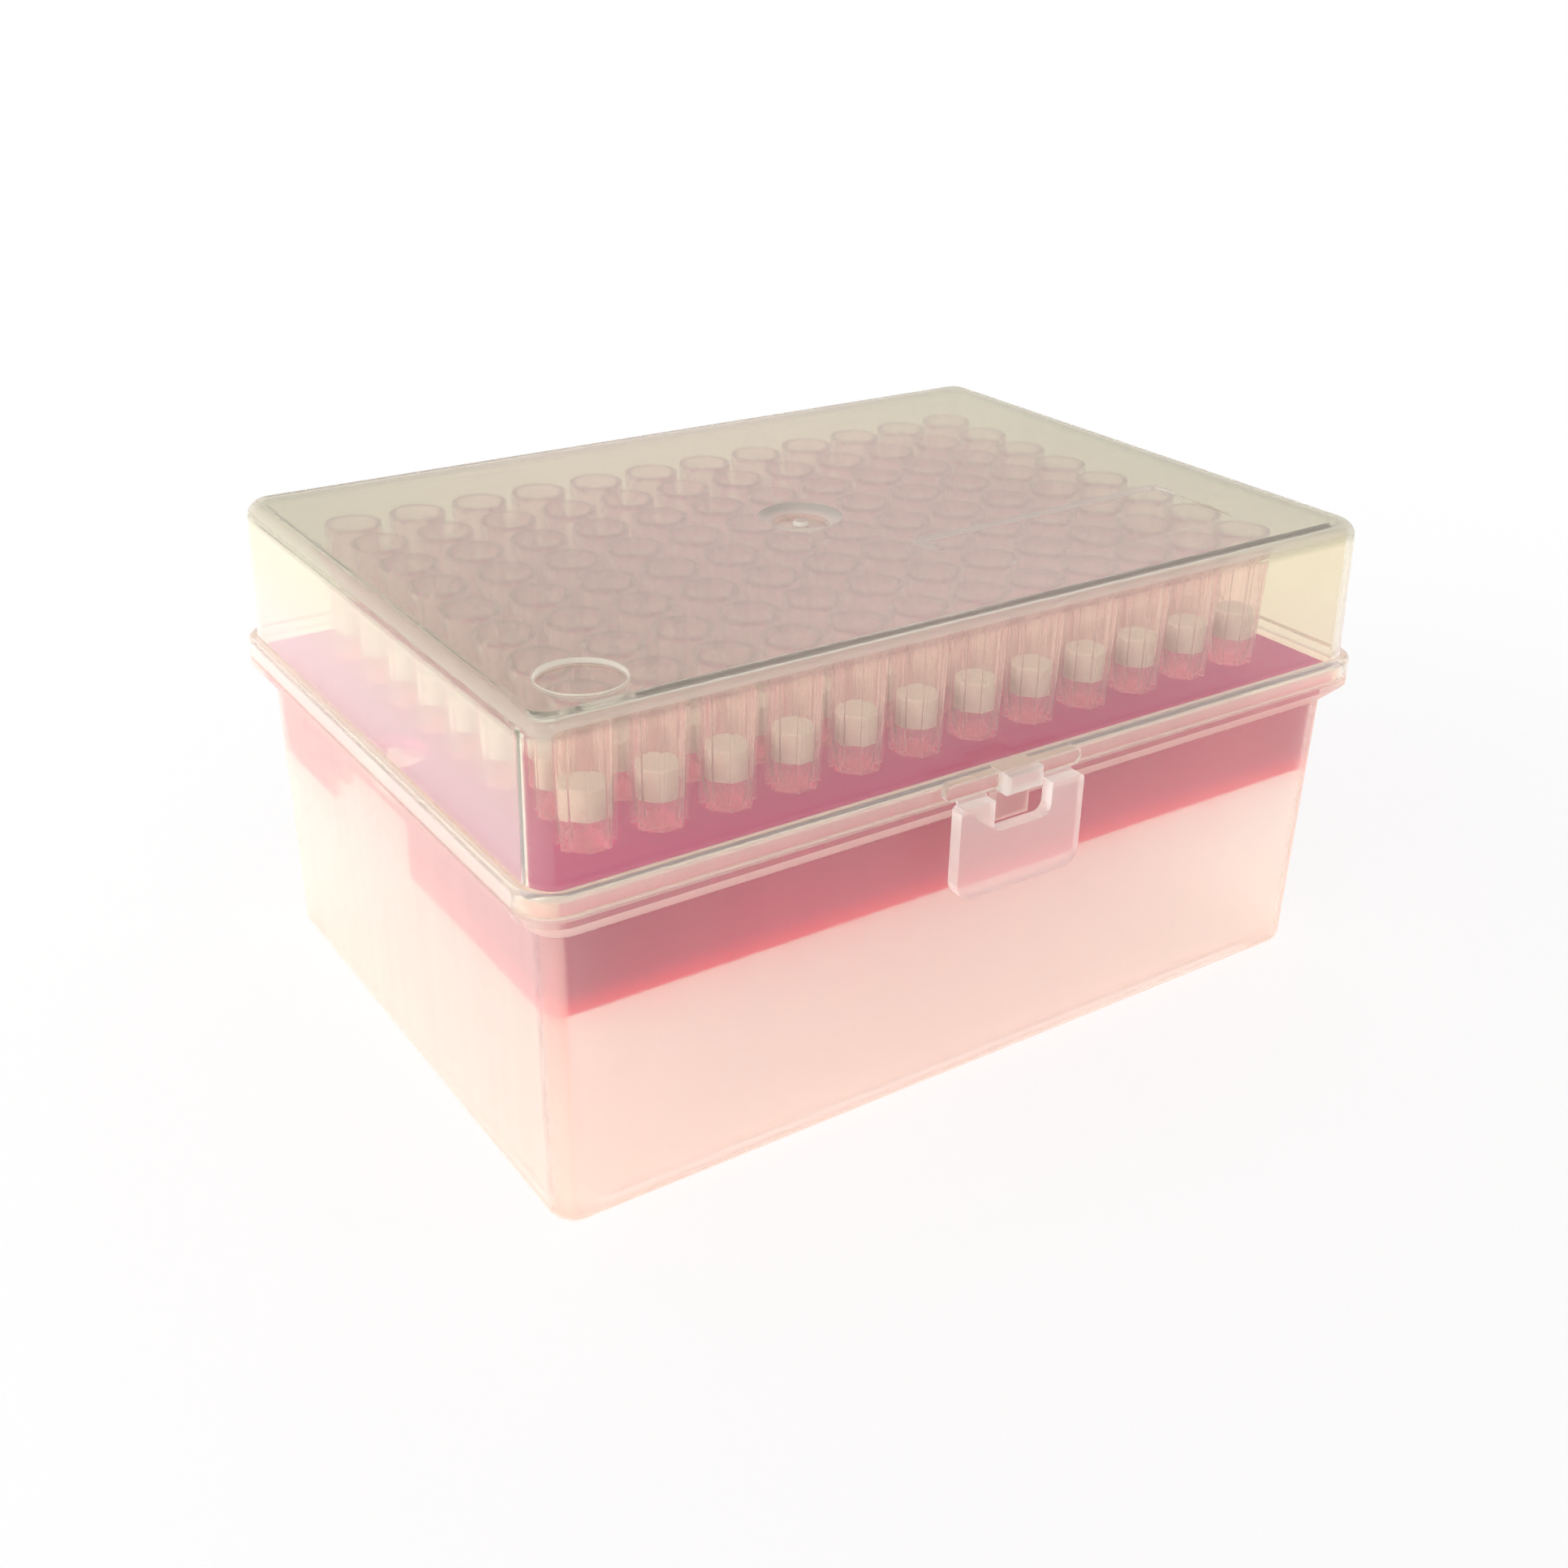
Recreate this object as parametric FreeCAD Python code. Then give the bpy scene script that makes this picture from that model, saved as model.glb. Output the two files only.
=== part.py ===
"""Hinged box of 96 filter tips on the standard 9 mm grid, in a coloured rack.

Millimetres, +Z up, the box standing on z = 0 with its middle at x = y = 0.
The latch is at the front (-Y) and the lid hinge at the back (+Y).
"""
import FreeCAD, Part
import math
import os

V = FreeCAD.Vector
UP = V(0, 0, 1)
ALONG_X = V(1, 0, 0)

# ---- tip grid (the standard microplate spacing) ----
pitch = 9.0
columns = 12
row_names = "abcdefgh"          # row a is at the back

# ---- filter tip ----
tip_length = 53.0
collar_height = 17.2            # from the rack plate up to the tip's mouth
mouth_radius = 3.7
mouth_band = 1.5
body_radius = 3.1
fin_count = 8
fin_wall = 0.5
fin_rest = 0.2                  # width of a fin's foot on the rack, past the hole's chamfer
bore_radius = 2.78
bore_taper = 0.16
stem_radius = 2.42
stem_end_radius = 0.45
end_bore_radius = 0.25

# ---- filter plug ----
filter_above_rack = 3.5
filter_height = 3.8
filter_fit = 0.03
filter_round = 0.3

# ---- overall box ----
end_margin = 13.0               # from the outer tips' axes to the rim's outside, each end
side_margin = 13.0              # the same at the front and the back
rim_corner = 5.0
headroom = 1.25                 # above the tips, below the middle of the lid
tip_clearance = 5.65            # from the floor up to the tips' ends

# ---- base ----
flare = 2.7                     # how far the rim stands out past the base wall
flare_height = 2.8
rim_drop = 1.0                  # upright part of the base's rim
base_draft = 0.3                # the foot is this much inside the top, each side
base_corner = 3.4
base_wall = 1.1
floor_thickness = 1.4
foot_fillet = 1.6
foot_rim = 4.5                  # width of the foot left around the recess below
foot_recess = 0.6
lip_height = 1.5                # upstanding lip that centres the lid
lip_wall = 0.9
lip_gap = 0.2                   # from the lip's top up to the lid's step
lid_fit = 0.2                   # side clearance between the lip and the lid's rim
seam_chamfer = 0.25             # on both rims, where they meet

# ---- lid ----
rim_wall = 1.2
rim_round = 0.8
lid_inset = 1.3                 # step from the rim's side in to the lid's wall
lid_draft = 0.5
lid_wall = 1.1
lid_top_wall = 1.2
lid_edge_round = 2.2
lid_sag = 1.0                   # the thin top hangs this much in the middle
gate_radius = 5.5
gate_depth = 1.3
gate_floor = 0.6                # wall left below the gate recess
gate_nub_radius = 1.2
mark_radius = 4.95              # round recess near the front left corner
mark_depth = 0.7
mark_inset_x = 10.6
mark_inset_y = 9.2
panel_length = 41.0             # shallow writing panel near the front right corner
panel_width = 16.0
panel_depth = 0.35
panel_round = 2.5
panel_inset_x = 13.4
panel_inset_y = 11.0

# ---- rack ----
rack_fit = 0.3                  # side clearance between the rack and the base
rack_plate = 1.5
rack_rise = 0.95                # the plate's top stands this much above the parting plane
skirt_depth = 15.25             # from the plate's top down to the skirt's lower edge
skirt_wall = 1.3
corner_ease = 0.7               # the skirt's corners are this much sharper than the base's inside
rack_round = 0.5
hole_radius = 2.75
hole_chamfer = 0.3
rib_depth = 4.0
rib_wall = 1.0
side_gap_front_y = -3.5         # side opening of the skirt, left end
side_gap_back_y = 21.6
side_gap_step_y = 14.8
side_gap_step = 3.4             # how far the corner tongue hangs into the opening
side_gap_height = 7.8           # from the rack's top down to the opening's top edge
finger_radius = 4.5

# ---- latch: keeper on the base, boss and ledge on the lid, hinged flap ----
latch_back = 1.0                # from the rim's face out to the flap's back
flap_width = 18.8
flap_height = 12.2
flap_wall = 1.8
flap_corner = 2.4
flap_shoulder = 0.7             # round on the outer corners beside the hinge web
notch_width = 8.8
notch_depth = 4.2
notch_round = 1.4
web_radius = 0.22               # thin hinge web between the ledge and the flap
web_gap = 0.03
ledge_overhang = 1.0            # past the flap, each side
ledge_rise = 0.5                # above the parting plane
ledge_height = 2.2
ledge_gap = 0.1
boss_gap = 1.7                  # from the boss's side to the notch's side
boss_depth = 4.3                # from the lid's wall out to the boss's face
boss_bottom_gap = 0.25
boss_round = 0.5
keeper_side_gap = 1.1           # from the keeper's side to the notch's side
keeper_height = 4.4
keeper_drop = 0.2               # below the parting plane
keeper_gap = 0.2                # from the keeper's face to the flap's back
keeper_nose = 1.45              # round on the keeper's upright and lower edges

# ---- back hinge: pins held by ears on the base, hooks on the lid ----
hinge_spacing = 68.0
hinge_gap = 0.32                # from the hook's outside to the rim's face
pin_radius = 1.15
pin_fit = 0.08
hook_wall = 0.85
hook_width = 7.0
hook_mouth = 96.0               # degrees of the hook left open at its underside
ear_wall = 2.4
ear_gap = 0.3
pin_overlap = 0.5               # how far the pin is rooted in each ear

# ---- places that follow from the sizes ----
seat_floor_z = foot_recess + floor_thickness
rack_top_z = seat_floor_z + tip_clearance + tip_length - collar_height
tip_top_z = rack_top_z + collar_height
seat_z = rack_top_z - rack_plate
skirt_bottom_z = rack_top_z - skirt_depth
parting_z = rack_top_z - rack_rise
flare_top_z = parting_z - rim_drop
flare_bottom_z = flare_top_z - flare_height
step_z = parting_z + lip_height + lip_gap
rim_top_z = step_z + lid_top_wall
lid_top_z = tip_top_z + headroom + lid_top_wall + lid_sag
rim_x = (columns - 1) * pitch / 2 + end_margin
rim_y = (len(row_names) - 1) * pitch / 2 + side_margin
wall_x = rim_x - flare
wall_y = rim_y - flare
lid_x = rim_x - lid_inset
lid_y = rim_y - lid_inset
lid_corner = rim_corner - lid_inset
lid_in_x = lid_x - lid_wall
lid_in_y = lid_y - lid_wall
lid_in_corner = lid_corner - lid_wall
lip_x = rim_x - rim_wall - lid_fit
lip_y = rim_y - rim_wall - lid_fit
lip_corner = rim_corner - rim_wall - lid_fit
seat_x = lip_x - lip_wall       # recess that the rack's plate lies in
seat_y = lip_y - lip_wall
seat_corner = lip_corner - lip_wall
rack_corner = base_corner - base_wall - corner_ease
fin_foot_radius = hole_radius + hole_chamfer + fin_rest
hook_radius = pin_radius + pin_fit + hook_wall
hinge_y = rim_y + hinge_gap + hook_radius
hinge_z = parting_z
flap_back_y = -rim_y - latch_back
ledge_bottom_z = parting_z + ledge_rise
web_y = flap_back_y + web_radius / 2
web_z = ledge_bottom_z - web_gap - web_radius
flap_top_z = web_z - web_radius / 2


def rounded_wire(half_x, half_y, radius, z):
    """Closed rectangle with round corners, level at height z."""
    edges = []
    corners = ((1, 1, 0), (-1, 1, 90), (-1, -1, 180), (1, -1, 270))
    last = None
    first = None
    for side_x, side_y, start in corners:
        centre = V(side_x * (half_x - radius), side_y * (half_y - radius), z)
        points = []
        for turn in (0, 45, 90):
            angle = math.radians(start + turn)
            points.append(centre + V(math.cos(angle), math.sin(angle), 0) * radius)
        if last is None:
            first = points[0]
        else:
            edges.append(Part.makeLine(last, points[0]))
        edges.append(Part.Arc(*points).toShape())
        last = points[2]
    edges.append(Part.makeLine(last, first))
    return Part.Wire(edges)


def block(half_x, half_y, radius, z_low, z_high):
    """Upright block with round corners."""
    face = Part.Face(rounded_wire(half_x, half_y, radius, z_low))
    return face.extrude(UP * (z_high - z_low))


def tapered(low, high):
    """Solid between two (half_x, half_y, radius, z) outlines."""
    return Part.makeLoft([rounded_wire(*low), rounded_wire(*high)], True, True)


def join(first, others):
    """One clean solid out of several that share faces or overlap."""
    return first.multiFuse(others).removeSplitter()


def edges_at(shape, z):
    """Edges that lie level at height z."""
    found = []
    for edge in shape.Edges:
        box = edge.BoundBox
        if abs(box.ZMin - z) < 1e-4 and abs(box.ZMax - z) < 1e-4:
            found.append(edge)
    return found


def side_plate(points, x_low, x_high):
    """Plate between two x values with its outline given as (y, z) points."""
    corners = [V(x_low, y, z) for y, z in points]
    face = Part.Face(Part.makePolygon(corners + corners[:1]))
    return face.extrude(ALONG_X * (x_high - x_low))


def across(radius, x_low, x_high, y, z):
    """Round bar along x."""
    return Part.makeCylinder(radius, x_high - x_low, V(x_low, y, z), ALONG_X)


def revolved(points):
    """Solid turned about the z axis from (radius, z) points."""
    corners = [V(radius, 0, z) for radius, z in points]
    face = Part.Face(Part.makePolygon(corners + corners[:1]))
    return face.revolve(V(0, 0, 0), UP, 360)


def base_half(z, side):
    """Half size of the base wall's outside at height z."""
    return side - base_draft * (1 - z / flare_bottom_z)


def base_shell():
    """Tapered tub with a flared rim, a centring lip and a recessed foot."""
    foot = (wall_x - base_draft, wall_y - base_draft, base_corner, 0)
    top = (wall_x, wall_y, base_corner, flare_bottom_z)
    rim = (rim_x, rim_y, rim_corner, flare_top_z)
    tub = tapered(foot, top)
    tub = tub.makeFillet(foot_fillet, edges_at(tub, 0))
    band = block(rim_x, rim_y, rim_corner, flare_top_z, parting_z)
    band = band.makeChamfer(seam_chamfer, edges_at(band, parting_z))
    lip = block(lip_x, lip_y, lip_corner, parting_z, parting_z + lip_height)
    return join(tub, [tapered(top, rim), band, lip])


def inner_outline(z):
    """Inside of the base wall at height z."""
    return (base_half(z, wall_x) - base_wall, base_half(z, wall_y) - base_wall,
            base_corner - base_wall, z)


def base_hollow():
    """Inside of the tub, with the ledge in the flared rim that carries the rack."""
    tub = tapered(inner_outline(seat_floor_z), inner_outline(seat_z))
    tub = tub.makeFillet(foot_fillet, edges_at(tub, seat_floor_z))
    seat = block(seat_x, seat_y, seat_corner, seat_z, parting_z + lip_height + 1)
    return join(tub, [seat])


def foot_hollow():
    """Shallow recess under the floor that leaves a foot all round."""
    half_x = wall_x - base_draft - foot_rim
    half_y = wall_y - base_draft - foot_rim
    return block(half_x, half_y, base_corner, -1, foot_recess)


def keeper():
    """Round-nosed lug on the base that the flap's notch closes over."""
    face_y = flap_back_y + keeper_gap
    top_z = parting_z - keeper_drop
    low_z = top_z - keeper_height
    half = notch_width / 2 - keeper_side_gap
    depth = -wall_y + base_wall / 2 - face_y
    lug = Part.makeBox(half * 2, depth, keeper_height, V(-half, face_y, low_z))
    upright = []
    lower = []
    for edge in lug.Edges:
        middle = edge.BoundBox.Center
        if abs(middle.y - face_y) > 1e-4:
            continue
        if abs(abs(middle.x) - half) < 1e-4:
            upright.append(edge)
        elif middle.z < top_z - keeper_height / 2:
            lower.append(edge)
    return lug.makeFillet(keeper_nose, upright + lower)


def hinge_places():
    """Middle of each back hinge along x."""
    return (-hinge_spacing / 2, hinge_spacing / 2)


def ears(middle_x):
    """Two ears on the base's rim with the hinge pin between them."""
    inner = hook_width / 2 + ear_gap
    outer = inner + ear_wall
    ear_radius = hook_radius
    solids = [across(pin_radius, middle_x - inner - pin_overlap,
                     middle_x + inner + pin_overlap, hinge_y, hinge_z)]
    root_y = wall_y - base_wall / 2
    outline = ((root_y, flare_bottom_z - flare), (hinge_y + ear_radius * 0.6, hinge_z - ear_radius * 0.8),
               (hinge_y, hinge_z), (root_y, hinge_z - ear_gap))
    for side in (-1, 1):
        near = middle_x + side * inner
        far = middle_x + side * outer
        low, high = min(near, far), max(near, far)
        disc = across(ear_radius, low, high, hinge_y, hinge_z)
        solids.append(disc.fuse(side_plate(outline, low, high)).removeSplitter())
    return solids


def make_base():
    """Base of the box, one moulding with its keeper, ears and pins."""
    additions = [keeper()]
    for middle_x in hinge_places():
        additions += ears(middle_x)
    solid = join(base_shell(), additions)
    return solid.cut(base_hollow()).cut(foot_hollow()).removeSplitter()


def sag_cut(half_x, half_y, z):
    """Everything above the lid's top face, which hangs a little in the middle."""
    surface = Part.BezierSurface()
    surface.increase(2, 2)
    for i, x in enumerate((-half_x, 0, half_x)):
        for j, y in enumerate((-half_y, 0, half_y)):
            drop = 4 * lid_sag if i == j == 1 else 0
            surface.setPole(i + 1, j + 1, V(x, y, z - drop))
    return surface.toShape().extrude(UP * (lid_sag + 3))


def lid_shell():
    """Thin box with a stepped rim, round edges and a slightly hanging top."""
    foot = (lid_x, lid_y, lid_corner, rim_top_z)
    top = (lid_x - lid_draft, lid_y - lid_draft, lid_corner, lid_top_z)
    upper = tapered(foot, top)
    upper = upper.makeFillet(lid_edge_round, edges_at(upper, lid_top_z))
    rim = block(rim_x, rim_y, rim_corner, parting_z, rim_top_z)
    rim = rim.makeFillet(rim_round, edges_at(rim, rim_top_z))
    rim = rim.makeChamfer(seam_chamfer, edges_at(rim, parting_z))
    flat = lid_edge_round + lid_draft
    return join(upper, [rim]).cut(sag_cut(lid_x - flat, lid_y - flat, lid_top_z))


def lid_hollow():
    """Inside of the lid, wider in the rim where the base's lip stands."""
    inner_top = lid_top_z - lid_top_wall
    share = (inner_top - rim_top_z) / (lid_top_z - rim_top_z)
    low = (lid_in_x, lid_in_y, lid_in_corner, step_z)
    high = (lid_in_x - lid_draft * share, lid_in_y - lid_draft * share, lid_in_corner, inner_top)
    inside = tapered(low, high)
    round_in = lid_edge_round - lid_wall
    inside = inside.makeFillet(round_in, edges_at(inside, inner_top))
    flat = round_in + lid_draft
    inside = inside.cut(sag_cut(lid_in_x - flat, lid_in_y - flat, inner_top))
    mouth = block(rim_x - rim_wall, rim_y - rim_wall, rim_corner - rim_wall, parting_z - 1, step_z)
    return join(inside, [mouth])


def gate_pad():
    """Thicker patch inside the lid below the gate recess."""
    low_z = lid_top_z - lid_sag - gate_depth - gate_floor
    height = gate_depth + gate_floor - lid_top_wall / 2
    return Part.makeCone(gate_radius * 0.68, gate_radius + gate_floor, height, V(0, 0, low_z), UP)


def gate_recess():
    """Dished recess at the moulding gate, leaving the gate's nub in its middle."""
    top_z = lid_top_z - lid_sag
    floor_z = top_z - gate_depth
    floor_radius = gate_radius * 0.62
    nub_z = floor_z + gate_depth * 0.5
    return revolved(((gate_nub_radius, floor_z), (floor_radius, floor_z), (gate_radius, top_z),
                     (gate_radius, top_z + 2), (0, top_z + 2), (0, nub_z),
                     (gate_nub_radius * 0.7, nub_z)))


def mark_recess():
    """Round flat recess for a moulding mark, left bare."""
    x = mark_inset_x - lid_x
    y = mark_inset_y - lid_y
    return Part.makeCylinder(mark_radius, 3, V(x, y, lid_top_z - mark_depth), UP)


def panel_recess():
    """Shallow rectangle for writing on."""
    panel = block(panel_length / 2, panel_width / 2, panel_round, 0, 3)
    panel.translate(V(lid_x - panel_inset_x - panel_length / 2, panel_inset_y + panel_width / 2 - lid_y,
                      lid_top_z - panel_depth))
    return panel


def boss():
    """Upright rib on the lid above the keeper, between the flap's two webs."""
    back_y = -lid_in_y
    face_y = -lid_y - boss_depth
    low_z = parting_z + boss_bottom_gap
    half = notch_width / 2 - boss_gap
    body = Part.makeBox(half * 2, back_y - face_y, rim_top_z - low_z, V(-half, face_y, low_z))
    front = []
    for edge in body.Edges:
        if abs(edge.BoundBox.Center.y - face_y) < 1e-4:
            front.append(edge)
    return body.makeFillet(boss_round, front)


def ledge():
    """Bead along the lid's rim that carries the flap's hinge web."""
    radius = ledge_height / 2
    reach = flap_width / 2 + ledge_overhang - radius
    middle_z = ledge_bottom_z + radius
    face_y = flap_back_y + ledge_gap
    depth = -rim_y + rim_wall / 2 - face_y
    bead = Part.makeBox(reach * 2, depth, ledge_height, V(-reach, face_y, ledge_bottom_z))
    ends = []
    for side in (-1, 1):
        ends.append(Part.makeCylinder(radius, depth, V(side * reach, face_y, middle_z), V(0, 1, 0)))
    return join(bead, ends)


def hook(middle_x):
    """C-shaped hook on the lid's rim that snaps over a hinge pin."""
    inner = pin_radius + pin_fit
    outer = hook_radius
    low = middle_x - hook_width / 2
    high = middle_x + hook_width / 2
    ring = across(outer, low, high, hinge_y, hinge_z)
    root_y = rim_y - rim_wall / 2
    arm = side_plate(((root_y, hinge_z + ear_gap), (hinge_y, hinge_z + ear_gap),
                      (hinge_y, hinge_z + outer), (root_y, hinge_z + outer + ear_gap)), low, high)
    body = ring.fuse(arm)
    body = body.cut(across(inner, low - 1, high + 1, hinge_y, hinge_z))
    half = math.radians(hook_mouth / 2)
    reach = outer * 2
    mouth = ((hinge_y, hinge_z),
             (hinge_y - reach * math.sin(half), hinge_z - reach * math.cos(half)),
             (hinge_y + reach * math.sin(half), hinge_z - reach * math.cos(half)))
    return body.cut(side_plate(mouth, low - 1, high + 1)).removeSplitter()


def make_lid():
    """Lid, one moulding with its hooks, boss and ledge."""
    shell = join(lid_shell(), [boss(), ledge()]).cut(lid_hollow())
    shell = join(shell, [gate_pad()]).cut([gate_recess(), mark_recess(), panel_recess()])
    return join(shell, [hook(middle_x) for middle_x in hinge_places()])


def make_flap():
    """Latch flap with its notch, open at the top, and the hinge web's bead."""
    half = flap_width / 2
    low_z = flap_top_z - flap_height
    plate = Part.makeBox(flap_width, flap_wall, flap_height,
                         V(-half, flap_back_y - flap_wall, low_z))
    lower = []
    for edge in plate.Edges:
        middle = edge.BoundBox.Center
        if abs(middle.z - low_z) < 1e-4 and abs(abs(middle.x) - half) < 1e-4:
            lower.append(edge)
    plate = plate.makeFillet(flap_corner, lower)
    upper = []
    for edge in plate.Edges:
        middle = edge.BoundBox.Center
        if abs(middle.z - flap_top_z) < 1e-4 and abs(abs(middle.x) - half) < 1e-4:
            upper.append(edge)
    plate = plate.makeFillet(flap_shoulder, upper)
    notch = Part.makeBox(notch_width, flap_wall + 2, notch_depth + 2,
                         V(-notch_width / 2, flap_back_y - flap_wall - 1, flap_top_z - notch_depth))
    inner = []
    for edge in notch.Edges:
        middle = edge.BoundBox.Center
        at_side = abs(abs(middle.x) - notch_width / 2) < 1e-4
        if at_side and abs(middle.z - (flap_top_z - notch_depth)) < 1e-4:
            inner.append(edge)
    plate = plate.cut(notch.makeFillet(notch_round, inner))
    beads = []
    for side in (-1, 1):
        ends = sorted((side * notch_width / 2, side * (half - flap_shoulder)))
        bead = across(web_radius, ends[0], ends[1], web_y, web_z)
        neck = side_plate(((web_y - web_radius, web_z), (web_y + web_radius * 0.5, web_z),
                           (flap_back_y, flap_top_z - 0.5), (flap_back_y - 0.6, flap_top_z - 0.5)),
                          ends[0], ends[1])
        beads += [bead, neck]
    return join(plate, beads)


def grid_x():
    """Tip places along the long side, from the left."""
    return [(column - (columns - 1) / 2) * pitch for column in range(columns)]


def row_y(index):
    """Place of a row, the first at the back."""
    return ((len(row_names) - 1) / 2 - index) * pitch


def rack_hole(x, y):
    """Tip hole with a countersunk top edge."""
    low_z = rack_top_z - rack_plate - 1
    drill = Part.makeCylinder(hole_radius, rack_plate + 2, V(x, y, low_z), UP)
    sink = Part.makeCone(hole_radius, hole_radius + hole_chamfer, hole_chamfer,
                         V(x, y, rack_top_z - hole_chamfer), UP)
    return drill.fuse(sink)


def rack_tray():
    """Plate that lies on the base's ledge, with a skirt hanging inside the walls."""
    skirt = inner_outline(skirt_bottom_z)
    half_x = skirt[0] - rack_fit
    half_y = skirt[1] - rack_fit
    plate = block(seat_x - rack_fit, seat_y - rack_fit, seat_corner - rack_fit / 2, seat_z, rack_top_z)
    plate = plate.makeFillet(rack_round, edges_at(plate, rack_top_z))
    outside = join(plate, [block(half_x, half_y, rack_corner, skirt_bottom_z, seat_z)])
    inner_corner = max(rack_corner - skirt_wall, rack_round)
    inside = block(half_x - skirt_wall, half_y - skirt_wall, inner_corner,
                   skirt_bottom_z - 1, seat_z)
    return outside.cut(inside), half_x, half_y


def skirt_opening(half_x):
    """Opening in the left side of the skirt, with a tongue at its back corner."""
    opening_top = rack_top_z - side_gap_height
    tongue_z = opening_top - side_gap_step
    points = ((side_gap_front_y, skirt_bottom_z - 1), (side_gap_front_y, opening_top),
              (side_gap_step_y, opening_top), (side_gap_step_y + 1.5, tongue_z),
              (side_gap_back_y, tongue_z), (side_gap_back_y, skirt_bottom_z - 1))
    return side_plate(points, -half_x - 1, -half_x + skirt_wall + 1)


def make_rack():
    """Coloured rack: 96 holes, underside ribs, side openings, finger notches."""
    tray, half_x, half_y = rack_tray()
    ribs = []
    for y in (-2 * pitch, 0, 2 * pitch):
        ribs.append(Part.makeBox(2 * half_x - skirt_wall, rib_wall, rib_depth,
                                 V(skirt_wall / 2 - half_x, y - rib_wall / 2, seat_z - rib_depth)))
    for x in (-3 * pitch, 0, 3 * pitch):
        ribs.append(Part.makeBox(rib_wall, 2 * half_y - skirt_wall, rib_depth,
                                 V(x - rib_wall / 2, skirt_wall / 2 - half_y, seat_z - rib_depth)))
    tray = join(tray, ribs)
    cuts = []
    for turn in (0, 180):
        opening = skirt_opening(half_x)
        notch = Part.makeCylinder(finger_radius, rack_plate + rib_depth + 2,
                                  V(-half_x, 0, seat_z - rib_depth - 1), UP)
        for cut in (opening, notch):
            cut.rotate(V(0, 0, 0), UP, turn)
            cuts.append(cut)
    for index in range(len(row_names)):
        cuts += [rack_hole(x, row_y(index)) for x in grid_x()]
    return tray.cut(cuts).removeSplitter()


def tip_outline():
    """Turned outside of a tip, from its mouth to its end."""
    top = collar_height
    low = collar_height - tip_length
    return ((0, top), (mouth_radius, top), (mouth_radius, top - mouth_band),
            (body_radius, top - mouth_band - 0.5), (body_radius - 0.1, filter_above_rack),
            (stem_radius, 0), (stem_radius - 0.1, -2.5), (1.75, low * 0.52),
            (0.95, low + 6), (stem_end_radius, low), (0, low))


def bore_outline():
    """Turned inside of a tip: cone seat, filter seat and the narrow end."""
    top = collar_height
    low = collar_height - tip_length
    seat = filter_above_rack
    return ((0, top + 1), (bore_radius + 0.35, top + 1), (bore_radius + 0.35, top),
            (bore_radius, top - 0.7), (bore_radius - bore_taper, seat),
            (stem_radius - 0.55, -0.6), (1.2, low * 0.52), (0.5, low + 6),
            (end_bore_radius, low), (end_bore_radius, low - 1), (0, low - 1))


def make_tip():
    """Filter tip with fins that stand on the rack, its axis at x = y = 0."""
    body = revolved(tip_outline())
    fins = []
    top = collar_height - mouth_band
    fin = Part.makePolygon([V(1, 0, 0), V(fin_foot_radius, 0, 0), V(mouth_radius, 0, top),
                            V(1, 0, top), V(1, 0, 0)])
    plate = Part.Face(fin).extrude(V(0, fin_wall, 0))
    plate.translate(V(0, -fin_wall / 2, 0))
    for number in range(fin_count):
        turned = plate.copy()
        turned.rotate(V(0, 0, 0), UP, 360 / fin_count * (number + 0.5))
        fins.append(turned)
    body = join(body, fins)
    return body.cut(revolved(bore_outline())).removeSplitter()


def bore_at(height):
    """Radius of the tip's bore at a height above the rack, near the filter."""
    top = collar_height - 0.7
    share = (top - height) / (top - filter_above_rack)
    return bore_radius - bore_taper * share


def make_filter():
    """Porous plug, a close fit in the tip's bore."""
    low = filter_above_rack + 0.05
    high = low + filter_height
    plug = Part.makeCone(bore_at(low) - filter_fit, bore_at(high) - filter_fit, filter_height,
                         V(0, 0, low), UP)
    return plug.makeFillet(filter_round, edges_at(plug, high))


def row_of(piece, index):
    """Twelve copies of a piece along one row, as separate solids."""
    copies = []
    for x in grid_x():
        copy = piece.copy()
        copy.translate(V(x, row_y(index), rack_top_z))
        copies.append(copy)
    return Part.makeCompound(copies)


def save(shape, name):
    shape.exportStep("parts/" + name + ".step")


os.makedirs("parts", exist_ok=True)
save(make_base(), "base_box")
save(make_lid(), "lid")
save(make_flap(), "latch_flap")
save(make_rack(), "tip_rack")
tip = make_tip()
plug = make_filter()
for index, letter in enumerate(row_names):
    save(row_of(tip, index), "tips_row_" + letter)
    save(row_of(plug, index), "filters_row_" + letter)
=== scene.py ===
"""Looks of a hinged box of filter pipette tips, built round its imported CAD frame."""
import bpy
import math
from mathutils import Matrix, Vector

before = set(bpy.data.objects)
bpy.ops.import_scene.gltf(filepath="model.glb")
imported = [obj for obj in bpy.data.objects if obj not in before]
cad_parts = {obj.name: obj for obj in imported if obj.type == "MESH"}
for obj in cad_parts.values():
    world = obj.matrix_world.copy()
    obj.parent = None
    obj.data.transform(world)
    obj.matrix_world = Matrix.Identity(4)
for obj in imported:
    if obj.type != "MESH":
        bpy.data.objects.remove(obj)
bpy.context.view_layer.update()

tip_rows = ["tips_row_" + row for row in "abcdefgh"]
filter_rows = ["filters_row_" + row for row in "abcdefgh"]

# Lengths are in metres, and heights start at the foot of the box. A pair of heights, depths or
# distances is where a change starts and where it is done. "milk" and "haze" are the share of cloudy
# plastic in a surface, and "through" is the share of its scattered light that goes on through.

# ---- camera: where the eye stands, and its angles in degrees ----
eye = Vector((-0.12782, -0.18489, 0.13624))
heading = 34.25
pitch = 26.63
roll = 0.97
lens_mm = 40.8
sensor_mm = 36.0
clip_near = 0.01
clip_far = 20.0

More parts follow.
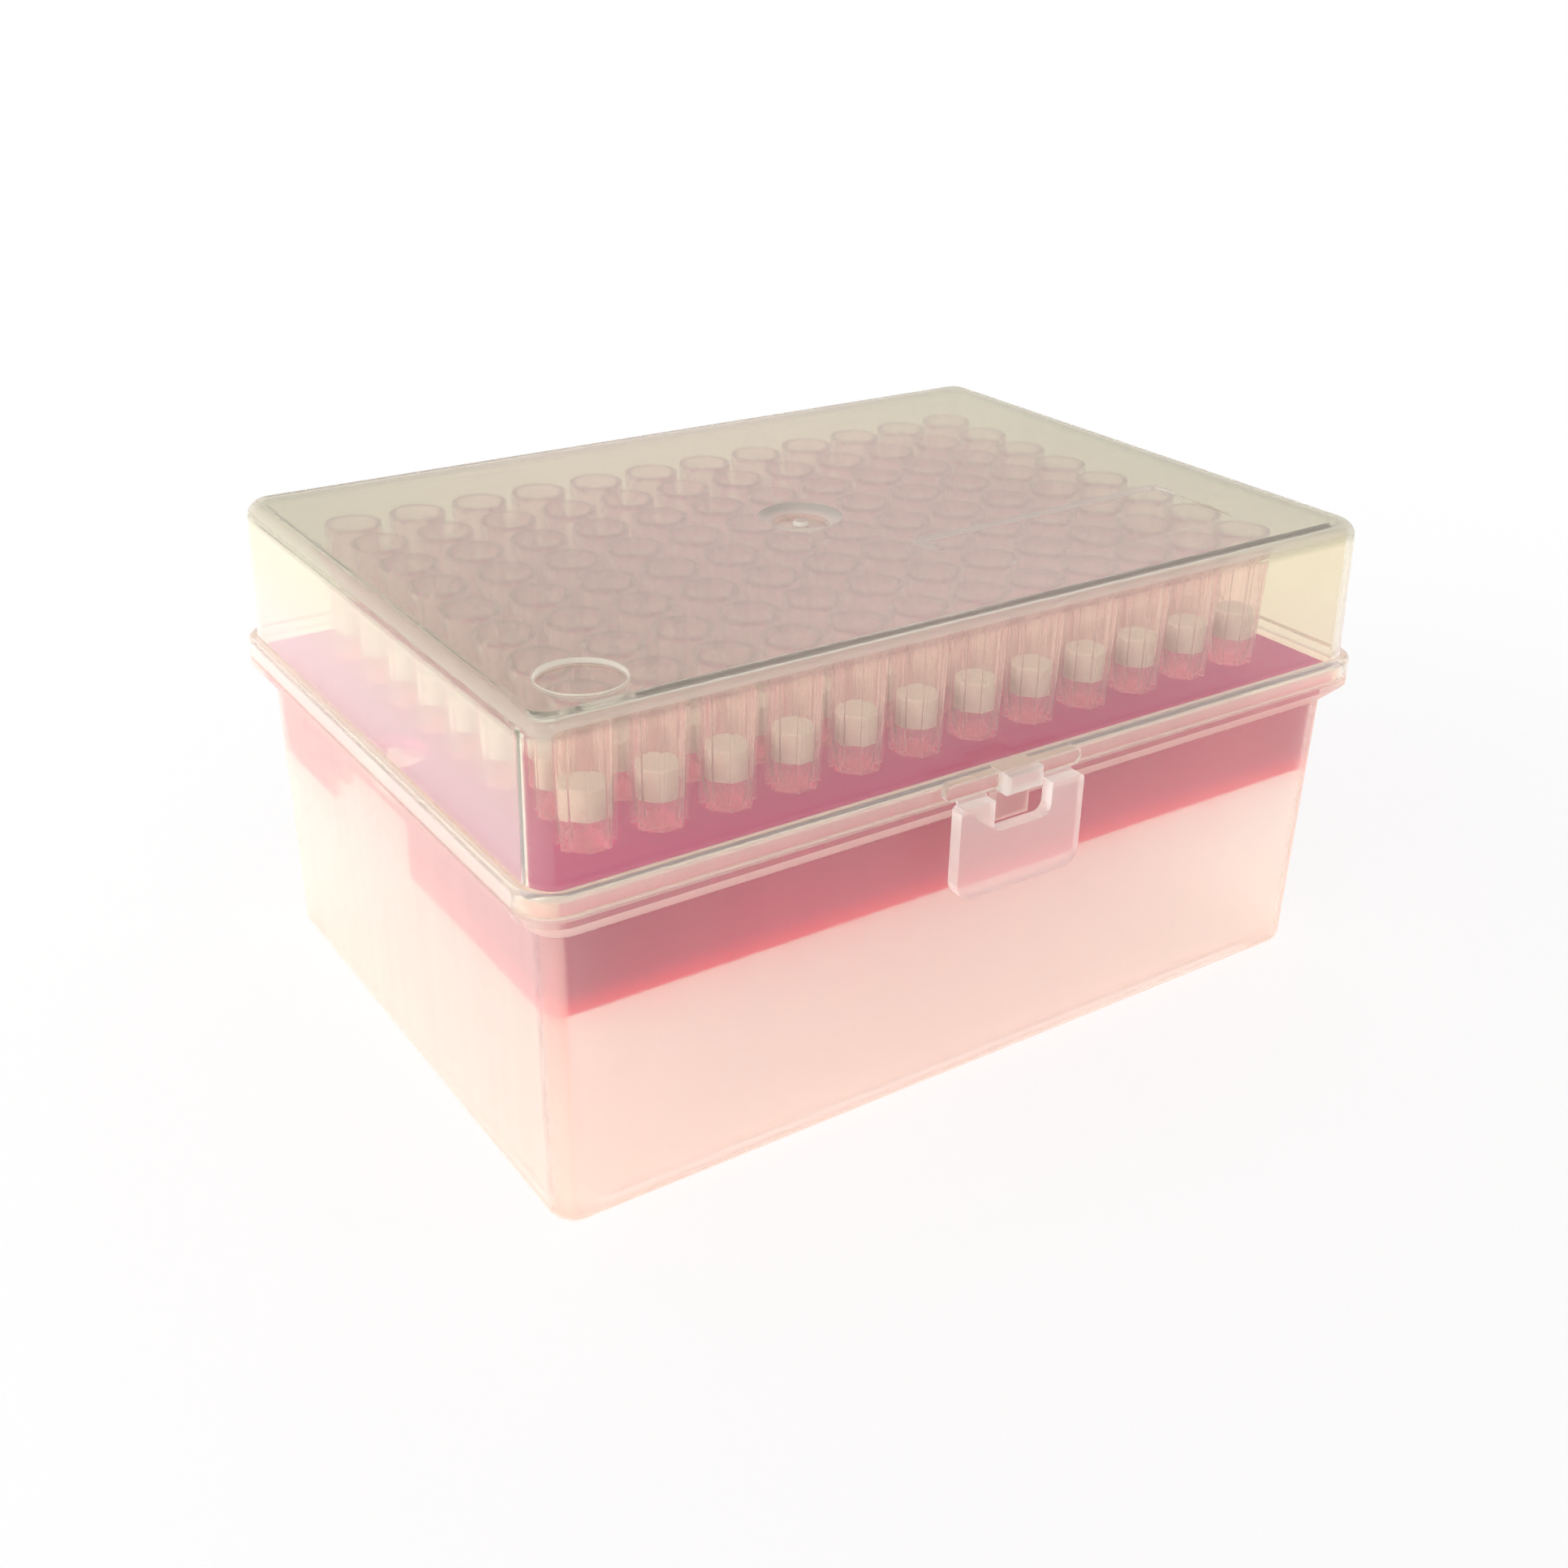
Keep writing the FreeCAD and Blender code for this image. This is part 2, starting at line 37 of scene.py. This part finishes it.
# ---- light and floor ----
white = (1.0, 1.0, 1.0)
sky_low = 1.27                      # strength at the horizon
sky_high = 0.48                     # and straight above
lamp_target = Vector((0, 0, 0.03))
left_lamp = {"place": (-0.8, 0.05, 0.18), "power": 6.5, "width": 0.8, "height": 0.6}
back_lamp = {"place": (0.45, 0.75, 0.2), "power": 4.0, "width": 0.9, "height": 0.4}
background_rays = ("Is Camera Ray", "Is Glossy Ray", "Is Transmission Ray")
floor_grey = (0.95, 0.95, 0.95)
floor_reach = 3.0
floor_drop = -0.0001
shadow_fades = (0.12, 0.3)          # distances at which the floor's shadow fades into white
shadow_veil = (0.7, 1.0)

# ---- plastics in general ----
plastic_ior = 1.49
edge_flatness = (0.99, 0.9)         # largest part of the normal on a flat and on a rounded edge
fleck_core = 0.5                    # share of a fleck's radius that has its full strength
line_core = 0.6                     # the same for a painted highlight line

# ---- lid ----
lid_wave = {"scale": 55.0, "detail": 0.0, "strength": 0.12, "depth": 0.0006}
lid_top = (0.0612, 0.0622)          # heights between which the wall turns into the top
lid_top_shaded_ends = (0.02, 0.058)        # distances from the middle between which the top darkens further with painted shade
lid_clear_side = (0.95, 0.89, 0.73)
# painted shade: the top's clear colours are darker than the walls', darkest at its ends, standing
# in for less light from above
lid_clear_top_painted_shade = (0.76, 0.71, 0.6)
lid_clear_top_ends_painted_shade = (0.66, 0.65, 0.52)
lid_rough_side = 0.03
lid_rough_top = 0.07
lid_haze_turns = (0.1, 0.4)         # how far a wall is turned from the eye for its haze to grow
lid_haze_side = (0.6, 0.9)
lid_haze_top = 0.42
lid_front = (-0.0465, -0.0452)      # the ledge and boss of the latch, then the front wall
lid_front_milk = (0.5, 0.07)
lid_rim = (0.0453, 0.0455)          # the rim's upper face, then the wall
lid_rim_milk = 0.15
lid_edge_highlight_heights = (0.0600, 0.0625) # the rounded edges get a painted highlight, paler towards the top
lid_edge_highlight_milk = (0.1, 0.3)
lid_side_heights = (0.05, 0.059)    # the walls turn from warm to greenish up these
lid_milk_low = (0.95, 0.9, 0.88)
lid_milk_high = (0.93, 0.89, 0.75)
# painted shade: the top's milky colours are darker than the walls', darkest at its ends
lid_milk_top_painted_shade = (0.84, 0.765, 0.665)
lid_milk_top_ends_painted_shade = (0.78, 0.755, 0.62)
# painted highlight colour of the pale edges and lines
lid_painted_highlight_colour = (0.87, 0.83, 0.75)
lid_highlight_starts = (0.2, 0.35)       # milkiness from which the painted highlights have their own pale colour
lid_through = 0.5
lid_flecks = {"scale": 70.0, "radius": 0.022, "share": 0.3, "strength": 0.5}
lid_fleck = (0.3, 0.2, 0.16)
lid_fleck_through = 0.3
lid_light = (0.985, 0.98, 0.965)

# ---- painted highlights: pale lines on the lid's top ----
nub_edge = (0.0016, 0.0011)
nub_highlight_milk = 0.7
gate_ring = {"radius": 0.0046, "reach": 0.0013, "milk": 0.55}
mark_middle = (-0.0506, -0.034)
mark_ring = {"radius": 0.00495, "reach": 0.0003, "milk": 0.5}
panel_middle = (0.0273, -0.0242)
panel_half = (0.0205, 0.008)
panel_line_reach = 0.0008
panel_back = (-0.022, -0.019)       # the panel's outline is fainter in front of this
panel_highlight_milk = (0.15, 0.7)

# ---- base ----
base_grain = {"scale": 900.0, "detail": 0.0, "strength": 0.15, "depth": 0.00008}
streak_stretch = (220.0, 220.0, 14.0)  # upright streaks: fine across and long upwards
streak_noise = {"Scale": 1.0, "Detail": 1.0}
streak_levels = (0.3, 0.7)
streak_milk = (0.21, 0.25)
base_haze = 0.52
flare_heights = (0.0387, 0.0400)    # the rim that flares out at the top of the walls
flare_milk = 0.26
# painted highlight: the base's rounded edges and corners are much milkier, standing in for light
# caught on their curve
base_edge_highlight_milk = 0.75
keeper_depths = (-0.0450, -0.0446)  # the latch's keeper stands out past the rim
keeper_milk = 0.65
base_shade_heights = (0.0, 0.028)   # painted shade: the cloud is darker and warmer towards the foot
base_milk_bottom_painted_shade = (1.0, 0.855, 0.755)
base_milk_upper = (1.0, 0.915, 0.83)
# painted shade: walls seen at a slant get a darker cloud colour
base_milk_turned_painted_shade = (0.95, 0.79, 0.70)
base_clear = (1.0, 0.975, 0.935)
base_turned_colour = (0.15, 0.5)    # how far a wall is turned from the eye for its painted shade and its through share
base_turned_rough = (0.15, 0.45)
base_rough = (0.36, 0.04)
base_rough_heights = (0.0382, 0.0390)
base_rough_rim = 0.5
base_through = (0.8, 0.42)
base_flecks = {"scale": 55.0, "radius": 0.018, "share": 0.4, "strength": 0.35}
base_fleck = (0.75, 0.35, 0.3)
base_fleck_through = 0.5
base_light = (1.0, 0.985, 0.97)

# ---- latch flap ----
latch_clear = (1.0, 0.98, 0.95)
latch_rough = 0.06
latch_haze = (0.22, 0.9)            # milkiness seen from in front and edge on
latch_milk = (1.0, 0.95, 0.9)
latch_through = 0.5
latch_light = (0.97, 0.97, 0.96)

# ---- tips ----
tip_clear = (0.98, 0.93, 0.93)
tip_rough = 0.03
tip_haze = 0.1
tip_milk = (0.88, 0.55, 0.58)
tip_through = 0.5
# painted shade: below this the tips carry a pink cloud, standing in for the rack's holes around
# them
tip_hole_heights = (0.0434, 0.0438) # the tips stand in the rack's holes below this
tip_hole_haze = 0.6
tip_hole_painted_shade = (0.78, 0.24, 0.38)
tip_stem_heights = (0.0355, 0.0365) # and are thin stems below this
tip_stem_haze = 0.9
tip_stem_milk = (0.97, 0.93, 0.88)
tip_deepest = 7.5                   # surfaces that a look through the tips passes before it ends on a dim cloud of painted shade
tip_deep_painted_shade = (0.64, 0.42, 0.42)

# ---- rack ----
rack_grain = {"scale": 700.0, "detail": 2.0, "strength": 0.2, "depth": 0.00006}
rack_flow = {"scale": 40.0, "detail": 2.0}
rack_flow_colours = ((0.52, 0.013, 0.19), (0.58, 0.02, 0.21))
rack_shaded_ends = (0.03, 0.056)           # distances from the middle between which the colour deepens into painted shade
rack_end_painted_shade = (0.43, 0.011, 0.16)
# painted glow: the skirt's lower edge turns a brighter red between these heights, standing in for
# light coming through it
rack_glow_heights = (0.0282, 0.0312)
rack_foot_painted_glow = (0.9, 0.045, 0.17)
# painted light: the rack's top is a lighter magenta from these heights up, standing in for light
# falling on it from above
rack_lit_top_heights = (0.0405, 0.0425)
rack_top_painted_light = (0.77, 0.022, 0.33)
rack_rough = 0.35
rack_through = 0.5
rack_light = (0.94, 0.66, 0.7)

# ---- filter plugs ----
pores = {"scale": 3000.0, "detail": 3.0, "roughness": 0.7, "strength": 0.5, "depth": 0.0001}
pore_levels = (0.35, 0.65)
pore_colours = ((0.65, 0.555, 0.51), (0.77, 0.675, 0.62))
filter_rough = 0.85
filter_through = 0.3


class Nodes:
    """A node tree with short calls for its nodes, links and usual sums."""

    def __init__(self, tree, output):
        self.tree = tree
        self.tree.nodes.clear()
        self.output = self.node(output)

    def set(self, socket, value):
        """Link a socket, or give it a number or a colour."""
        if isinstance(value, bpy.types.NodeSocket):
            self.tree.links.new(value, socket)
        elif isinstance(value, tuple) and len(value) == 3 and len(socket.default_value) == 4:
            socket.default_value = (*value, 1)
        else:
            socket.default_value = value

    def node(self, kind, options=None, **values):
        """Node of a kind, with its options and its sockets set."""
        made = self.tree.nodes.new("ShaderNode" + kind)
        for key, value in (options or {}).items():
            setattr(made, key, value)
        for key, value in values.items():
            self.set(made.inputs[key.replace("_", " ")], value)
        return made

    def mix(self, factor, first, second):
        """Shader between two shaders."""
        made = self.node("MixShader")
        self.set(made.inputs[0], factor)
        self.set(made.inputs[1], first)
        self.set(made.inputs[2], second)
        return made.outputs[0]

    def tint(self, factor, first, second):
        """Colour between two colours."""
        made = self.node("Mix", {"data_type": "RGBA"})
        colours = [socket for socket in made.inputs if socket.type == "RGBA"]
        self.set(made.inputs[0], factor)
        self.set(colours[0], first)
        self.set(colours[1], second)
        return next(socket for socket in made.outputs if socket.type == "RGBA")

    def sum(self, operation, first, second=0.0):
        """Result of a sum of one or two numbers."""
        made = self.node("Math", {"operation": operation})
        self.set(made.inputs[0], first)
        self.set(made.inputs[1], second)
        return made.outputs[0]

    def times(self, first, second):
        """Product of two numbers."""
        return self.sum("MULTIPLY", first, second)

    def most(self, *values):
        """Largest of the values."""
        found = values[0]
        for value in values[1:]:
            found = self.sum("MAXIMUM", found, value)
        return found

    def span(self, value, between, levels=(0.0, 1.0)):
        """Number that goes from one level to the other while the value goes between two limits."""
        made = self.node("MapRange", Value=value, From_Min=between[0], From_Max=between[1],
                         To_Min=levels[0], To_Max=levels[1])
        return made.outputs[0]

    def rays(self, *kinds):
        """1 for the named kinds of ray."""
        path = self.node("LightPath")
        return self.most(*[path.outputs[kind] for kind in kinds])

    def point(self):
        """The point on the piece, in metres."""
        return self.node("TexCoord").outputs["Object"]

    def place(self):
        """The point's x, y and z."""
        return self.node("SeparateXYZ", Vector=self.point()).outputs

    def turned(self):
        """How far the surface is turned from the eye, with more weight at a grazing angle."""
        return self.sum("POWER", self.node("LayerWeight", Blend=0.5).outputs["Facing"], 2.0)

    def noise(self, grain):
        """Soft noise as fine as the grain says."""
        made = self.node("TexNoise", Vector=self.point(), Scale=grain["scale"],
                         Detail=grain["detail"], Roughness=grain.get("roughness", 0.5))
        return made.outputs["Fac"]

    def bump(self, height, grain):
        """Normal of a surface that rises and falls with the height."""
        made = self.node("Bump", Height=height, Strength=grain["strength"], Distance=grain["depth"])
        return made.outputs["Normal"]

    def flecks(self, size):
        """Small sparse spots: one in some cells of a grid."""
        made = self.node("TexVoronoi", Vector=self.point(), Scale=size["scale"])
        spot = self.span(made.outputs["Distance"], (size["radius"], size["radius"] * fleck_core))
        red = self.node("SeparateColor", Color=made.outputs["Color"]).outputs[0]
        kept = self.sum("LESS_THAN", red, size["share"])
        return self.times(self.times(spot, kept), size["strength"])

    def bent(self):
        """1 on rounded edges, which face along no axis, and 0 on the flats."""
        parts = self.node("SeparateXYZ", Vector=self.node("TexCoord").outputs["Normal"]).outputs
        most = self.most(*[self.sum("ABSOLUTE", part) for part in parts])
        return self.span(most, edge_flatness)

    def off(self, value, middle):
        """How far the value is from the middle."""
        return self.sum("ABSOLUTE", self.sum("SUBTRACT", value, middle))

    def hypot(self, across, along):
        """Length of a step across and along."""
        squares = self.sum("ADD", self.times(across, across), self.times(along, along))
        return self.sum("SQRT", squares)

    def beside(self, distance, line, reach):
        """1 where the distance is within reach of the line."""
        return self.span(self.off(distance, line), (reach, reach * line_core))

    def glass(self, colour, roughness, normal=None):
        """Refracting plastic."""
        made = self.node("BsdfPrincipled", Base_Color=colour, Roughness=roughness,
                         IOR=plastic_ior, Transmission_Weight=1.0)
        if normal:
            self.set(made.inputs["Normal"], normal)
        return made.outputs[0]

    def cloud(self, colour, through):
        """Milky light scattered in the plastic, a share of it on through."""
        front = self.node("BsdfDiffuse", Color=colour)
        back = self.node("BsdfTranslucent", Color=colour)
        return self.mix(through, front.outputs[0], back.outputs[0])

    def open_to_light(self, body, shade, *kinds):
        """Let the named kinds of ray pass, tinted, so that lamps reach what is inside."""
        clear = self.node("BsdfTransparent", Color=shade)
        return self.mix(self.rays(*kinds), body, clear.outputs[0])

    def surface(self, shader):
        """Join the shader to the tree's output."""
        self.set(self.output.inputs["Surface"], shader)


def new_material(name):
    """A material and the short calls for its nodes."""
    material = bpy.data.materials.new(name)
    material.use_nodes = True
    return material, Nodes(material.node_tree, "OutputMaterial")


def top_highlight_lines(s, x, y):
    """Painted highlights on the lid's top: pale lines on the gate's nub and ring, the round mark
    and the panel's edge.
    """
    away = s.hypot(x, y)
    nub = s.times(s.span(away, nub_edge), nub_highlight_milk)
    gate = s.times(s.beside(away, gate_ring["radius"], gate_ring["reach"]), gate_ring["milk"])
    away = s.hypot(s.off(x, mark_middle[0]), s.off(y, mark_middle[1]))
    mark = s.times(s.beside(away, mark_ring["radius"], mark_ring["reach"]), mark_ring["milk"])
    across = s.sum("SUBTRACT", s.off(x, panel_middle[0]), panel_half[0])
    along = s.sum("SUBTRACT", s.off(y, panel_middle[1]), panel_half[1])
    outline = s.beside(s.most(across, along), 0.0, panel_line_reach)
    return s.most(nub, gate, mark, s.times(outline, s.span(y, panel_back, panel_highlight_milk)))


def lid_plastic():
    """Clear polished lid: hazier where it turns away, with painted highlights on its edges and top
    lines, painted shade on its top, flecked and wavy.
    """
    material, s = new_material("lid")
    x, y, z = s.place()
    top = s.span(z, lid_top)
    shaded_ends = s.span(s.off(x, 0.0), lid_top_shaded_ends)

    turned = s.turned()
    haze_side = s.span(turned, lid_haze_turns, lid_haze_side)
    haze = s.times(turned, s.span(top, (0.0, 1.0), (haze_side, lid_haze_top)))
    # painted highlights: milkier rounded edges and pale lines on the top, standing in for light
    # caught on them
    edge = s.times(s.bent(), s.span(z, lid_edge_highlight_heights, lid_edge_highlight_milk))
    painted_highlights = s.most(edge, s.times(top_highlight_lines(s, x, y), top))
    rim = s.span(z, lid_rim, (lid_rim_milk, 0.0))
    milk = s.most(haze, rim, s.span(y, lid_front, lid_front_milk), painted_highlights)

    # painted shade: the top is darker than the walls, and darker again towards its ends
    colour = s.tint(top, lid_clear_side, s.tint(shaded_ends, lid_clear_top_painted_shade, lid_clear_top_ends_painted_shade))
    side = s.tint(s.span(z, lid_side_heights), lid_milk_low, lid_milk_high)
    shade = s.tint(top, side, s.tint(shaded_ends, lid_milk_top_painted_shade, lid_milk_top_ends_painted_shade))
    shade = s.tint(s.span(painted_highlights, lid_highlight_starts), shade, lid_painted_highlight_colour)

    normal = s.bump(s.noise(lid_wave), lid_wave)
    rough = s.span(top, (0.0, 1.0), (lid_rough_side, lid_rough_top))
    body = s.mix(milk, s.glass(colour, rough, normal), s.cloud(shade, lid_through))
    body = s.mix(s.flecks(lid_flecks), body, s.cloud(lid_fleck, lid_fleck_through))
    s.surface(s.open_to_light(body, lid_light, "Is Shadow Ray", "Is Diffuse Ray"))
    return material


def base_plastic():
    """Milky natural plastic with a fine moulded surface and faint upright streaks."""
    material, s = new_material("base")
    x, y, z = s.place()
    turned = s.turned()

    stretched = s.node("Mapping", Vector=s.point(), Scale=streak_stretch).outputs[0]
    streaks = s.node("TexNoise", Vector=stretched, **streak_noise).outputs["Fac"]
    milk = s.sum("ADD", s.span(streaks, streak_levels, streak_milk), s.times(turned, base_haze))
    flare = s.span(z, flare_heights, (0.0, flare_milk))
    keeper = s.span(y, keeper_depths, (keeper_milk, 0.0))
    # the rounded edges carry a painted highlight
    milk = s.most(milk, flare, s.times(s.bent(), base_edge_highlight_milk), keeper)

    # painted shade: darker, warmer cloud towards the foot
    shade = s.tint(s.span(z, base_shade_heights), base_milk_bottom_painted_shade, base_milk_upper)
    # painted shade on walls seen at a slant
    shade = s.tint(s.span(turned, base_turned_colour), shade, base_milk_turned_painted_shade)
    through = s.span(turned, base_turned_colour, base_through)

    normal = s.bump(s.noise(base_grain), base_grain)
    rough = s.span(turned, base_turned_rough, base_rough)
    rough = s.times(rough, s.span(z, base_rough_heights, (1.0, base_rough_rim)))
    body = s.mix(milk, s.glass(base_clear, rough, normal), s.cloud(shade, through))
    body = s.mix(s.flecks(base_flecks), body, s.cloud(base_fleck, base_fleck_through))
    s.surface(s.open_to_light(body, base_light, "Is Shadow Ray"))
    return material


def latch_plastic():
    """Thin flap, milkier where it is seen edge on."""
    material, s = new_material("latch")
    haze = s.span(s.turned(), (0.0, 1.0), latch_haze)
    body = s.mix(haze, s.glass(latch_clear, latch_rough), s.cloud(latch_milk, latch_through))
    s.surface(s.open_to_light(body, latch_light, "Is Shadow Ray", "Is Diffuse Ray"))
    return material


def tip_plastic():
    """Clear faintly pink tips: painted pinker in the rack's holes, a pink shade standing in for the
    rack around them, and frosted below the rack.
    """
    material, s = new_material("tip")
    x, y, z = s.place()
    body = s.mix(tip_haze, s.glass(tip_clear, tip_rough), s.cloud(tip_milk, tip_through))

    # painted pink shade where the tips stand in the rack's holes
    hole = s.span(z, tip_hole_heights, (tip_hole_haze, 0.0))
    stem = s.span(z, tip_stem_heights, (tip_stem_haze, 0.0))
    shade = s.tint(stem, tip_hole_painted_shade, tip_stem_milk)
    body = s.mix(s.most(hole, stem), body, s.cloud(shade, tip_through))

    # painted shade: a look that has passed many tip walls ends on a dim cloud, standing in for the
    # murky far inside
    passed = s.node("LightPath").outputs["Transmission Depth"]
    deep = s.sum("GREATER_THAN", passed, tip_deepest)
    body = s.mix(deep, body, s.cloud(tip_deep_painted_shade, tip_through))
    s.surface(s.open_to_light(body, white, "Is Shadow Ray", "Is Diffuse Ray"))
    return material


def rack_plastic():
    """Magenta satin plastic with a painted glow along its lower edge, a brighter red standing in
    for light that comes through it.
    """
    material, s = new_material("rack")
    x, y, z = s.place()
    colour = s.tint(s.noise(rack_flow), *rack_flow_colours)
    # painted shade: the rack darkens towards its left and right ends
    colour = s.tint(s.span(s.off(x, 0.0), rack_shaded_ends), colour, rack_end_painted_shade)
    # painted glow at the skirt's lower edge
    colour = s.tint(s.span(z, rack_glow_heights), rack_foot_painted_glow, colour)
    # painted light on the rack's top
    colour = s.tint(s.span(z, rack_lit_top_heights), colour, rack_top_painted_light)

    normal = s.bump(s.noise(rack_grain), rack_grain)
    skin = s.node("BsdfPrincipled", Base_Color=colour, Roughness=rack_rough, IOR=plastic_ior,
                  Normal=normal)
    through = s.node("BsdfTranslucent", Color=colour)
    body = s.mix(rack_through, skin.outputs[0], through.outputs[0])
    s.surface(s.open_to_light(body, rack_light, "Is Shadow Ray"))
    return material


def filter_plastic():
    """Pale sintered plug with fine pores."""
    material, s = new_material("filters")
    grain = s.noise(pores)
    colour = s.tint(s.span(grain, pore_levels), *pore_colours)
    skin = s.node("BsdfPrincipled", Base_Color=colour, Roughness=filter_rough,
                  Normal=s.bump(grain, pores))
    through = s.node("BsdfTranslucent", Color=colour)
    s.surface(s.mix(filter_through, skin.outputs[0], through.outputs[0]))
    return material


def dress(names, material):
    """Give the pieces a material in place of their own."""
    for name in names:
        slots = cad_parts[name].data.materials
        slots.clear()
        slots.append(material)


def make_camera():
    """Camera at the eye, looking along its heading."""
    turn, dip, lean = (math.radians(angle) for angle in (heading, pitch, roll))
    forward = Vector((math.sin(turn) * math.cos(dip), math.cos(turn) * math.cos(dip),
                      -math.sin(dip)))
    level = Vector((math.cos(turn), -math.sin(turn), 0))
    up = level.cross(forward)
    side = level * math.cos(lean) + up * math.sin(lean)
    over = up * math.cos(lean) - level * math.sin(lean)
    data = bpy.data.cameras.new("camera")
    data.sensor_width = sensor_mm
    data.lens = lens_mm
    data.clip_start = clip_near
    data.clip_end = clip_far
    camera = bpy.data.objects.new("camera", data)
    axes = Matrix((side, over, -forward)).transposed()
    camera.matrix_world = Matrix.Translation(eye) @ axes.to_4x4()
    bpy.context.scene.collection.objects.link(camera)
    bpy.context.scene.camera = camera


def make_world():
    """White surroundings that light the box evenly, a little less from above."""
    world = bpy.data.worlds.new("world")
    world.use_nodes = True
    bpy.context.scene.world = world
    s = Nodes(world.node_tree, "OutputWorld")
    height = s.node("SeparateXYZ", Vector=s.node("TexCoord").outputs["Generated"]).outputs["Z"]
    strength = s.span(height, (0.0, 1.0), (sky_low, sky_high))
    light = s.node("Background", Color=white, Strength=strength)
    seen = s.node("Background", Color=white, Strength=1.0)
    s.surface(s.mix(s.rays(*background_rays), light.outputs[0], seen.outputs[0]))


def make_floor():
    """Large white floor that keeps the box's soft shadow."""
    material, s = new_material("floor")
    x, y, z = s.place()
    veil = s.span(s.hypot(x, y), shadow_fades, shadow_veil)
    lit = s.node("BsdfDiffuse", Color=floor_grey)
    plain = s.node("Emission", Color=white, Strength=1.0)
    s.surface(s.mix(s.times(s.rays(*background_rays), veil), lit.outputs[0], plain.outputs[0]))
    corners = [(across * floor_reach, along * floor_reach, 0)
               for across, along in ((-1, -1), (1, -1), (1, 1), (-1, 1))]
    mesh = bpy.data.meshes.new("floor")
    mesh.from_pydata(corners, [], [(0, 1, 2, 3)])
    mesh.materials.append(material)
    floor = bpy.data.objects.new("floor", mesh)
    floor.location.z = floor_drop
    bpy.context.scene.collection.objects.link(floor)


def make_lamp(name, setting):
    """Soft lamp that faces the box and isn't seen in it."""
    data = bpy.data.lights.new(name, "AREA")
    data.shape = "RECTANGLE"
    data.size = setting["width"]
    data.size_y = setting["height"]
    data.energy = setting["power"]
    lamp = bpy.data.objects.new(name, data)
    lamp.location = setting["place"]
    lamp.rotation_mode = "QUATERNION"
    lamp.rotation_quaternion = (lamp_target - lamp.location).to_track_quat("-Z", "Y")
    bpy.context.scene.collection.objects.link(lamp)
    lamp.visible_camera = False
    lamp.visible_glossy = False
    lamp.visible_transmission = False


def set_render():
    """Plain view, and bounces for light that goes through many clear walls."""
    scene = bpy.context.scene
    scene.view_settings.view_transform = "Standard"
    scene.cycles.max_bounces = 12
    scene.cycles.transmission_bounces = 12
    scene.cycles.transparent_max_bounces = 12
    scene.cycles.diffuse_bounces = 3
    scene.cycles.glossy_bounces = 4
    scene.cycles.adaptive_threshold = 0.1
    scene.cycles.caustics_reflective = False


make_camera()
make_world()
make_floor()
make_lamp("left", left_lamp)
make_lamp("back", back_lamp)

dress(["lid"], lid_plastic())
dress(["base_box"], base_plastic())
dress(["latch_flap"], latch_plastic())
dress(["tip_rack"], rack_plastic())
dress(tip_rows, tip_plastic())
dress(filter_rows, filter_plastic())

# Clear pieces cast no shadow of their own: light comes through them.
for name in ["lid", "base_box", "latch_flap"] + tip_rows:
    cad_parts[name].visible_shadow = False

set_render()
